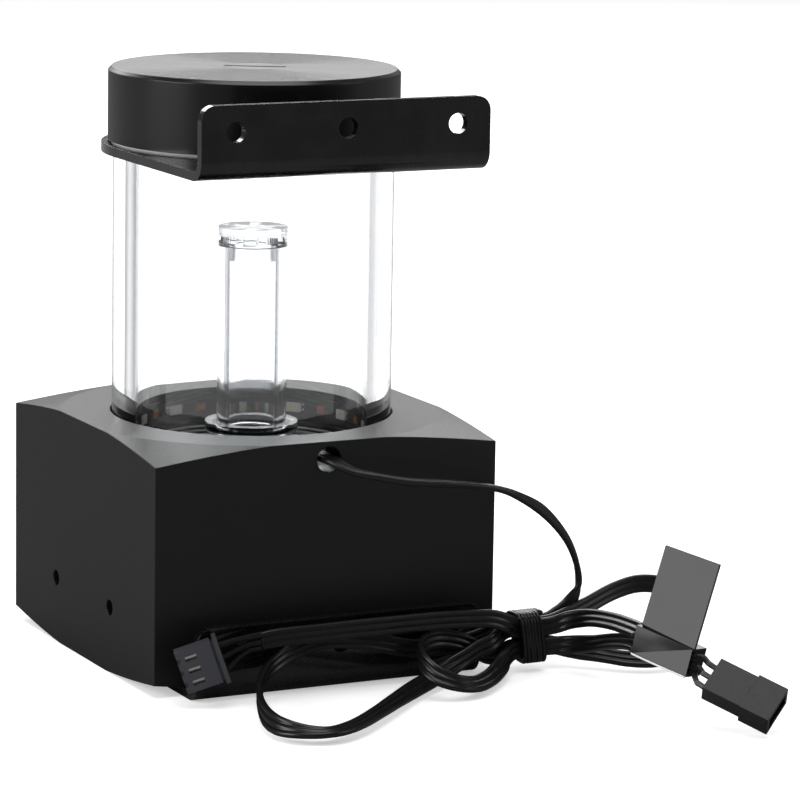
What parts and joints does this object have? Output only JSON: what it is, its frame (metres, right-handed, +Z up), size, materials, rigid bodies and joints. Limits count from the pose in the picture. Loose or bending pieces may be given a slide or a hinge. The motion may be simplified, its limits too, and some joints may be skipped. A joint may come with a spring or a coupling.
{
  "type": "coolant pump reservoir",
  "caption": "Square black coolant pump block with a clear cylindrical reservoir screwed into its top, a turned lid with a fill plug, two flanged mounting brackets and a bundled lighting cable.",
  "frame": {"origin": "on the tube's axis, at the underside of the base block, where it stands", "axes": "+Z is up along the tube's axis; the mounting brackets and the cable outlet face -Y; +X is to the right seen from the front"},
  "size_m": [0.1212, 0.1549, 0.125],
  "materials": {
    "base_block": "matte black acetal-like, turned top",
    "reservoir_tube": "clear acrylic, polished",
    "tube_seat_o_ring": "black",
    "riser_tube": "clear acrylic, machined",
    "riser_cap": "clear acrylic, machined",
    "lighting_strip": "black flexible board",
    "lamps": "white lamp packages",
    "strip_capacitors": "amber ceramic",
    "lid": "black, turned",
    "lid_o_ring": "black",
    "lid_washer": "translucent white",
    "fill_plug": "black",
    "fill_plug_o_ring": "black",
    "upper_bracket": "gloss black coat",
    "lower_bracket": "gloss black coat",
    "bracket_screws": "black oxide",
    "pump_housing": "moulded, dark grey",
    "pump_end_cover": "moulded, dark grey",
    "pump_o_ring": "black",
    "separating_can": "moulded",
    "bearing_post": "ceramic white",
    "bearing_ball": "ceramic white",
    "stator_core": "laminated",
    "stator_coils": "copper winding",
    "circuit_board": "green board",
    "impeller": "moulded, off-white",
    "rotor_magnet": "sintered",
    "lighting_cable": "black, satin",
    "tail_cable": "black, satin",
    "cable_tie": "black, satin",
    "cable_label": "gloss black film, bare",
    "lead_wires": "black, satin",
    "tail_wires": "black, satin",
    "lead_connector": "moulded black",
    "lead_pins": "tinned",
    "tail_connector": "moulded dark grey",
    "tail_contacts": "tinned"
  },
  "bodies": {
    "root": {"base_block": "base_block", "reservoir_tube": "reservoir_tube", "tube_seat_o_ring": "tube_seat_o_ring", "riser_tube": "riser_tube", "riser_cap": "riser_cap", "lighting_strip": "lighting_strip", "lamps": "lamps", "strip_capacitors": "strip_capacitors", "lid_washer": "lid_washer", "upper_bracket": "upper_bracket", "lower_bracket": "lower_bracket", "bracket_screws": "bracket_screws", "pump_housing": "pump_housing", "pump_end_cover": "pump_end_cover", "pump_o_ring": "pump_o_ring", "separating_can": "separating_can", "bearing_post": "bearing_post", "bearing_ball": "bearing_ball", "stator_core": "stator_core", "stator_coils": "stator_coils", "circuit_board": "circuit_board", "lighting_cable": "lighting_cable", "tail_cable": "tail_cable", "cable_tie": "cable_tie", "cable_label": "cable_label", "lead_wires": "lead_wires", "tail_wires": "tail_wires", "lead_connector": "lead_connector", "lead_pins": "lead_pins", "tail_connector": "tail_connector", "tail_contacts": "tail_contacts"},
    "impeller": {"impeller": "impeller", "rotor_magnet": "rotor_magnet"},
    "lid_seal": {"lid_o_ring": "lid_o_ring"},
    "lid": {"lid": "lid"},
    "plug_seal": {"fill_plug_o_ring": "fill_plug_o_ring"},
    "plug": {"fill_plug": "fill_plug"}
  },
  "joints": [
    {"name": "impeller_spin", "type": "hinge", "parent": "root", "child": "impeller", "pos_m": [0, 0, 0.02], "axis": [0, 0, 1], "continuous": true},
    {"name": "lid_lift", "type": "slide", "parent": "root", "child": "lid_seal", "axis": [0, 0, 1], "range_m": [0, 0.007]},
    {"name": "lid_turn", "type": "hinge", "parent": "lid_seal", "child": "lid", "pos_m": [0, 0, 0.11725], "axis": [0, 0, 1], "range_deg": [0, 1700]},
    {"name": "plug_lift", "type": "slide", "parent": "lid", "child": "plug_seal", "axis": [0, 0, 1], "range_m": [0, 0.0045]},
    {"name": "plug_turn", "type": "hinge", "parent": "plug_seal", "child": "plug", "pos_m": [0, 0, 0.12275], "axis": [0, 0, 1], "range_deg": [0, 1240]}
  ],
  "couplings": [
    {"joint": "lid_turn", "follows": "lid_lift", "rad_per_m": 4188.8},
    {"joint": "plug_turn", "follows": "plug_lift", "rad_per_m": 4699.5}
  ]
}
